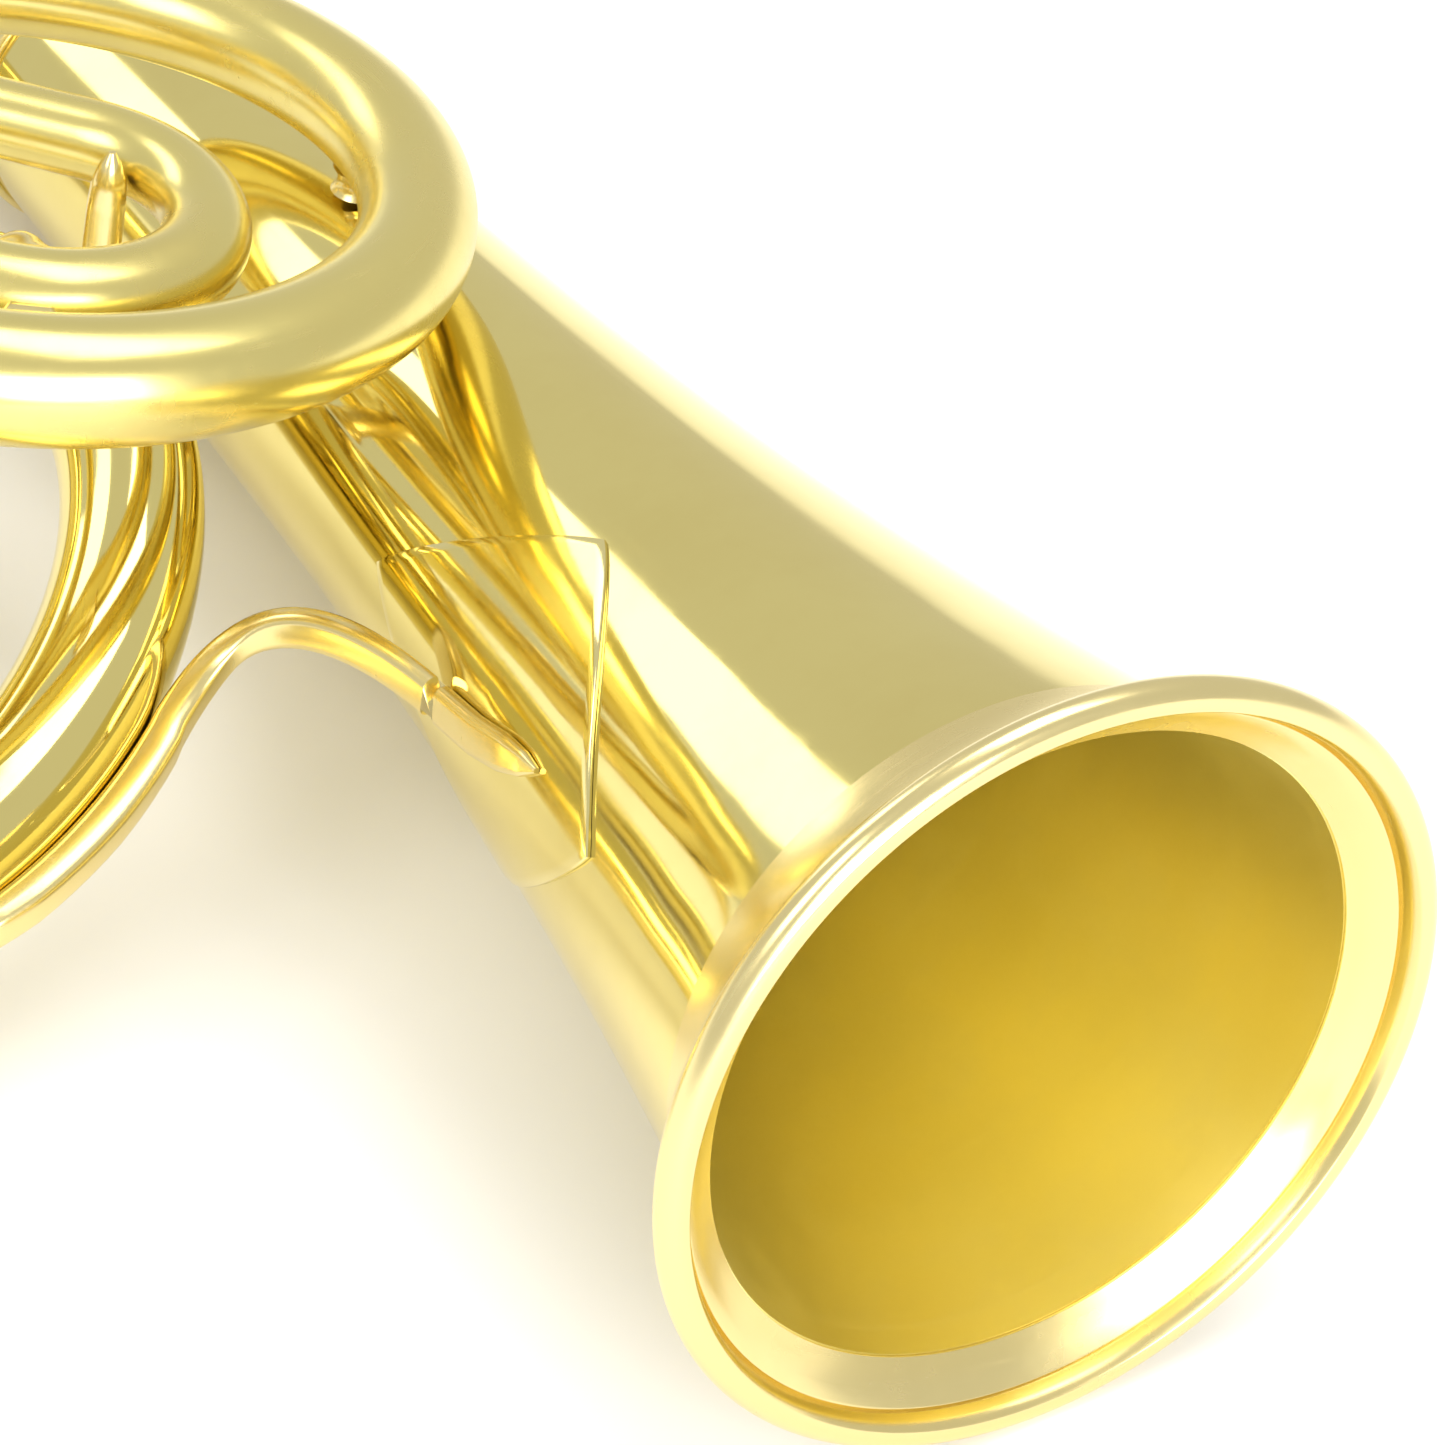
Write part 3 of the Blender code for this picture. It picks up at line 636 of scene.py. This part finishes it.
for name, middle in joints.items():
    half = [(0.0, FERRULE_WALL), (4.6, FERRULE_WALL), (5.3, FERRULE_WALL + 0.05),
            (5.75, FERRULE_WALL + 0.32), (6.3, FERRULE_WALL + 0.50), (7.0, FERRULE_WALL + 0.50),
            (7.55, FERRULE_WALL + 0.30), (7.9, FERRULE_WALL - 0.1), (FERRULE_HALF, 0.3)]
    sleeve = [(-a, e) for a, e in reversed(half[1:])] + half
    inner = [(a, SEAM) for a in (7.9, 4.0, 0.0, -4.0, -7.9)]
    rings = [way.ring(middle + a, e, 96) for a, e in sleeve + inner]
    wear = [0.9 if abs(a) > 5.5 else 0.2 for a, e in sleeve + inner]
    ferrule = skin(name, rings, [pale_brass], closed=True, wear=wear)
    fit(ferrule, name)

# ==== Receiver and mouthpiece ====
# The receiver is a turned socket over the mouthpipe's end, with a collar at its mouth. The
# cup mouthpiece is turned from brass and silver-plated. Its shank is a plain taper that grips
# in the receiver and pulls out.

SHANK_RADIUS = 4.8
SHANK_TAPER = 0.02
RECEIVER_LENGTH = 32.0
MOUTHPIECE_REACH = 46.0
CUP_RIM_RADIUS = 13.2
CUP_RADIUS = 8.3
CUP_DEPTH = 11.0
THROAT_RADIUS = 1.9

mouth = way.at(0.0)[0]
mouth_axis = -way.at(0.0)[1]
receiver_outline = [(0.0, 6.9), (-0.4, 7.35), (-2.7, 7.35), (-3.3, 6.55), (-4.6, 6.5),
                    (-5.0, 6.75), (-5.8, 6.75), (-6.2, 6.45), (-RECEIVER_LENGTH + 6.0, 6.15),
                    (-RECEIVER_LENGTH + 1.6, 5.9), (-RECEIVER_LENGTH + 0.2, 5.5),
                    (-RECEIVER_LENGTH + 0.2, 5.16), (-22.6, 5.16), (-22.6, 4.62), (0.0, 5.06)]
receiver = turned("receiver", rounded(receiver_outline, 0.35, 4), mouth, mouth_axis, 96,
                  [pale_brass])
fit(receiver, "receiver")

silver_plate = brass_finish("silver_plate", (0.88, 0.86, 0.80), (0.58, 0.52, 0.40), 0.05, 0.10,
                            0.12, (3.0, 3.0, 1100.0))
reach = MOUTHPIECE_REACH
tip = SHANK_RADIUS - SHANK_TAPER * SHANK_DEPTH
cup_floor = reach - CUP_DEPTH
mouthpiece_outline = [(-SHANK_DEPTH, tip), (0.0, SHANK_RADIUS), (1.6, SHANK_RADIUS + 0.1),
                      (2.0, 6.0), (3.6, 6.0), (4.0, 5.1), (reach * 0.30, 5.5), (reach * 0.42, 7.0),
                      (reach * 0.55, 9.6), (reach * 0.66, 11.0), (reach - 9.0, 11.5),
                      (reach - 5.2, 11.6), (reach - 4.4, 12.0),
                      (reach - 3.0, CUP_RIM_RADIUS - 0.1),
                      (reach - 1.6, CUP_RIM_RADIUS), (reach - 0.4, CUP_RIM_RADIUS - 1.0),
                      (reach, CUP_RIM_RADIUS - 2.4), (reach, CUP_RADIUS + 1.4),
                      (reach - 1.2, CUP_RADIUS), (cup_floor + 5.5, CUP_RADIUS - 1.3),
                      (cup_floor + 2.0, CUP_RADIUS - 3.6), (cup_floor, THROAT_RADIUS + 0.5),
                      (cup_floor - 3.0, THROAT_RADIUS), (-SHANK_DEPTH, tip - 0.9)]
mouthpiece = turned("mouthpiece", rounded(mouthpiece_outline, 1.4, 6), mouth, mouth_axis, 96,
                    [silver_plate])
fit(mouthpiece, "mouthpiece", "mouthpiece")

# ==== Bridge between the lower bow and the bell ====
# A cast and filed bridge of pale brass. One foot follows the lower bow's outer side to a
# pointed tip, the bridge arches over to the bell, and the other foot lies on the patch and
# tapers to a point.


def strap(name, sections, finishes, wear=0.35):
    """Bar of rounded rectangular section; each section is (foot, lift, across, width, depth)."""
    rings = []
    for foot, lift, across, width, depth in sections:
        lift = lift.normalized()
        across = (across - lift * across.dot(lift)).normalized()
        shape = [(-0.5 * width, 0.0), (0.5 * width, 0.0), (0.47 * width, 0.72 * depth),
                 (0.33 * width, depth), (-0.33 * width, depth), (-0.47 * width, 0.72 * depth)]
        shape = rounded(shape, 0.28 * min(width, depth), 3)
        rings.append([foot + across * a + lift * b for a, b in shape])
    return skin(name, rings, finishes, wear=[wear] * len(rings))


def over_bow(mark, degrees, elevation, lift):
    """Point over a bow's tube, some degrees into the bow and some above its outer side."""
    radius = {"inner": INNER_RADIUS, "lower": LOWER_RADIUS}[mark]
    centre, tangent, _, _, bore = way.at(way.start[mark] + math.radians(degrees) * radius)
    outward = Vector((-tangent.y, tangent.x, 0.0)).normalized()
    rise = turn(elevation)
    out = outward * rise.x + tangent.cross(outward) * -rise.y
    return centre + out * (bore + lift), out, tangent


def stepped(table, steps):
    """Rows between the rows of a table, smoothly."""
    rows = []
    for a, b in zip(table, table[1:]):
        rows += [tuple(x + (y - x) * k / steps for x, y in zip(a, b)) for k in range(steps)]
    return rows + [tuple(table[-1])]


up = Vector((0.0, 0.0, 1.0))
bridge = []
bow_foot = ((86.0, 1.2, 0.7), (84.6, 3.6, 2.0), (82.5, 5.2, 3.2), (79.0, 6.0, 4.4),
            (74.0, 6.3, 5.0), (63.0, 6.3, 5.2), (53.0, 6.0, 5.0))
for degrees, width, depth in stepped(bow_foot, 5):
    point, out, run = over_bow("lower", degrees, 4.0, SEAM)
    bridge.append((point, out, up, width, depth))
lift = PATCH_THICK + PATCH_SOLDER + 2 * SEAM
land = bell_point(94.0, 179.0, lift)
bend = (point, point - run * 26.0, land + Vector((-24.0, -5.0, 3.0)), land)
for step in range(1, 28):
    t = step / 28.0
    r = 1.0 - t
    middle = (bend[0] * r**3 + bend[1] * (3 * r * r * t) + bend[2] * (3 * r * t * t)
              + bend[3] * t**3)
    along = ((bend[1] - bend[0]) * (r * r) + (bend[2] - bend[1]) * (2 * r * t)
             + (bend[3] - bend[2]) * (t * t))
    bridge.append((middle, along.cross(up), up, 5.8, 4.8 - 2.4 * t))
bell_foot = ((94.0, 179.0, 5.8, 2.4), (84.0, 175.5, 5.7, 2.1), (76.0, 171.5, 5.3, 1.9),
             (71.0, 169.0, 3.6, 1.5), (67.6, 167.2, 0.8, 0.8))
for behind, degrees, width, depth in stepped(bell_foot, 5):
    out = turn(degrees)
    bridge.append((bell_point(behind, degrees, lift), Vector((0.0, out.x, out.y)),
                   Vector((0.15, -out.y, out.x)), width, depth))
bell_stay = strap("bell_stay", bridge, [pale_brass])
fit(bell_stay, "bell_stay")

# ==== Stays inside the coil ====
# A small clip fills the gap between the two upper bows and laps over the inner one in a
# point. A pointed post stands inside the hairpin on the tube below, and a round block holds
# the outer bow off the bell's back. All are cast in pale brass and soldered.

clip_table = ((-24.0, 5.6, 0.9), (-16.0, 7.4, 3.0), (-8.0, 8.0, 4.2), (8.0, 8.0, 4.2),
              (16.0, 7.8, 2.6), (24.0, 7.2, 1.1), (42.0, 5.4, 0.9), (60.0, 3.2, 0.8),
              (78.0, 0.7, 0.6))
clip = []
for elevation, width, depth in stepped(clip_table, 4):
    point, out, run = over_bow("inner", 164.0, elevation, SEAM)
    clip.append((point, out, run, width, depth))
coil_stay = strap("coil_stay", clip, [pale_brass])
fit(coil_stay, "coil_stay")

POST_RADIUS = 2.6
post_bore = way.at(way.start["lower"])[4]
post_centre, post_run, _, _, hairpin_bore = way.at(way.start["inner"]
                                                   + math.radians(26.0) * INNER_RADIUS)
post_in = Vector((post_run.y, -post_run.x, 0.0)).normalized()
post_foot = post_centre + post_in * (hairpin_bore + POST_RADIUS + 0.3)
post_base = SIDE_LEVEL + post_bore
post_outline = [(post_base + 0.3, POST_RADIUS + 0.9), (post_base + 1.4, POST_RADIUS + 0.75),
                (post_base + 2.4, POST_RADIUS + 0.2), (post_base + 3.4, POST_RADIUS),
                (COIL_LEVEL - 3.0, POST_RADIUS), (COIL_LEVEL + 0.2, POST_RADIUS - 0.25),
                (COIL_LEVEL + 2.6, POST_RADIUS - 1.0), (COIL_LEVEL + 4.5, 0.5)]
x_way = Vector((1, 0, 0))
y_way = Vector((0, 1, 0))
post_rings = [circle(Vector((post_foot.x, post_foot.y, z)), x_way, y_way, r, 48)
              for z, r in rounded(post_outline, 0.8, 4, loop=False)]
hole_stay = skin("hole_stay", post_rings, [pale_brass], wear=[0.5] * len(post_rings))
fit(hole_stay, "hole_stay")

saddle = OUTER_CENTRE + Vector((0.0, OUTER_RADIUS))
saddle_bore = way.at(way.start["outer"] + math.radians(OUTER_START - 90.0) * OUTER_RADIUS)[4]
saddle_low = bell_radius(-saddle.x - 4.0) + 0.15
saddle_high = COIL_LEVEL - saddle_bore - 0.1
saddle_rings = []
for step in range(13):
    t = step / 12.0
    waist = 4.0 - 0.8 * math.sin(math.pi * t)
    centre = Vector((saddle.x, saddle.y, saddle_low + (saddle_high - saddle_low) * t))
    saddle_rings.append(circle(centre, x_way, y_way, waist, 48))
coil_saddle = skin("coil_saddle", saddle_rings, [pale_brass], wear=[0.3] * 13)
fit(coil_saddle, "coil_saddle")

# ==== Cross stay ====
# A turned bar, thickened at its ends, ties the outer bow to the low run. A small round flange
# spreads each end over its tube.


def disc(centre, normal, radius, sides):
    """Ring square to a normal, its first point always towards the same side."""
    u = (x_way - normal * normal.x).normalized()
    return circle(centre, u, normal.cross(u), radius, sides)


upper = way.at(way.start["side"] - 3.0)
lower = way.at(way.start["left"] + 2.0)
bar_axis = (lower[0] - upper[0]).normalized()
seats = []
for name, (centre, tangent, _, _, bore), toward in (("cross_flange_upper", upper, bar_axis),
                                                    ("cross_flange_lower", lower, -bar_axis)):
    normal = (toward - tangent * toward.dot(tangent)).normalized()
    seat_point = centre + normal * (bore + 0.1)
    shape = rounded(((0.0, 5.6), (0.9, 5.6), (1.35, 3.6)), 0.5, 4, loop=False)
    flange = skin(name, [disc(seat_point + normal * d, normal, r, 48) for d, r in shape],
                  [pale_brass], wear=[0.6] * len(shape))
    fit(flange, name)
    seats.append((seat_point + normal * 1.45, normal if toward is bar_axis else -normal))
(bar_start, start_normal), (bar_end, end_normal) = seats
bar_rings = [disc(bar_start, start_normal, 3.2, 48)]
for step in range(1, 24):
    t = step / 24.0
    swell = 2.0 + 1.2 * smooth(abs(2.0 * t - 1.0) * 2.5 - 1.5)
    bar_rings.append(disc(bar_start.lerp(bar_end, t), bar_axis, swell, 48))
bar_rings.append(disc(bar_end, end_normal, 3.2, 48))
cross_stay = skin("cross_stay", bar_rings, [pale_brass], wear=[0.3] * len(bar_rings))
fit(cross_stay, "cross_stay")

# ==== Carrying ring ====
# An eye of brass wire is soldered to the back of the rear bow. A loose ring of heavier wire,
# closed with hard solder, hangs in it and takes the player's cord.

CARRY_RADIUS = 10.0
CARRY_WIRE = 1.3
CARRY_HANG = 45.0
EYE_RADIUS = 2.6
EYE_WIRE = 1.0

back_centre, _, _, _, back_bore = way.at((way.start["rear"] + way.start["bell"]) / 2.0)
eye_middle = back_centre - Vector((back_bore + 0.3 + EYE_RADIUS + EYE_WIRE, 0.0, 0.0))


def wire_ring(name, centre, u, v, radius, wire, around, sides):
    """Closed ring of round wire in the plane of u and v."""
    rings = []
    for k in range(around):
        angle = 2 * math.pi * k / around
        out = u * math.cos(angle) + v * math.sin(angle)
        rings.append(circle(centre + out * radius, out, u.cross(v), wire, sides))
    return skin(name, rings, [pale_brass], closed=True, wear=[0.5] * around)


ring_eye = wire_ring("ring_eye", eye_middle, x_way, up, EYE_RADIUS, EYE_WIRE, 56, 24)
fit(ring_eye, "ring_eye")
hang = turn(CARRY_HANG)
back = x_way * -hang.x - up * hang.y
carrying_ring = wire_ring("carrying_ring", eye_middle + back * CARRY_RADIUS, back, y_way,
                          CARRY_RADIUS, CARRY_WIRE, 96, 24)
fit(carrying_ring, "carrying_ring", "carrying_ring")

# ==== Floor, light and camera ====
# A plain white table under broad soft lights. The camera looks down at the bell's mouth and
# the coil from the front, close in, so the rear of the horn is outside its view.

floor_mesh = bpy.data.meshes.new("floor")
floor_mesh.from_pydata([(-4, -4, 0), (4, -4, 0), (4, 4, 0), (-4, 4, 0)], [], [(0, 1, 2, 3)])
floor = bpy.data.objects.new("floor", floor_mesh)
bpy.context.collection.objects.link(floor)
table = bpy.data.materials.new("table")
table.use_nodes = True
table.node_tree.nodes["Principled BSDF"].inputs["Base Color"].default_value = (0.93, 0.93, 0.93, 1)
table.node_tree.nodes["Principled BSDF"].inputs["Roughness"].default_value = 0.9
floor_mesh.materials.append(table)

world = bpy.data.worlds.new("studio")
world.use_nodes = True
bpy.context.scene.world = world
world.node_tree.nodes["Background"].inputs["Color"].default_value = (1.0, 1.0, 1.0, 1.0)
world.node_tree.nodes["Background"].inputs["Strength"].default_value = 0.68


def softbox(name, place, aim, width, height, power, color=(1.0, 1.0, 1.0)):
    """Broad area light that faces a point."""
    data = bpy.data.lights.new(name, "AREA")
    data.shape = "RECTANGLE"
    data.size = width
    data.size_y = height
    data.energy = power
    data.color = color
    lamp = bpy.data.objects.new(name, data)
    bpy.context.collection.objects.link(lamp)
    lamp.location = place
    lamp.rotation_euler = (Vector(aim) - Vector(place)).to_track_quat("-Z", "Y").to_euler()
    return lamp


softbox("key_light", (0.2, -1.3, 1.5), (0, 0, 0.05), 0.9, 0.9, 9.0)
softbox("left_light", (-1.5, -0.4, 0.9), (0, 0, 0.05), 0.5, 1.2, 4.0)
softbox("mouth_light", (1.5, -0.2, 0.75), (0.14, 0.06, 0.05), 1.1, 1.1, 22.0)
softbox("top_light", (-0.2, 0.6, 1.8), (0, 0, 0.05), 1.4, 0.9, 12.0)

camera_data = bpy.data.cameras.new("camera")
camera_data.sensor_width = 36.0
camera_data.lens = 174.6
camera_data.clip_start = 0.01
camera = bpy.data.objects.new("camera", camera_data)
bpy.context.collection.objects.link(camera)
right_way = Vector((0.5083, 0.8489, 0.145))
up_way = Vector((-0.5275, 0.1737, 0.832))
back_way = Vector((0.6807, -0.4993, 0.536))
pose = Matrix((right_way, up_way, back_way)).transposed().to_4x4()
pose.translation = Vector((535.7, -451.6, 484.7)) * MM
shift = horn_frame.translation.copy()
camera.matrix_world = Matrix.Translation(shift) @ lean @ pose
bpy.context.scene.camera = camera
bpy.context.scene.view_settings.view_transform = "Standard"
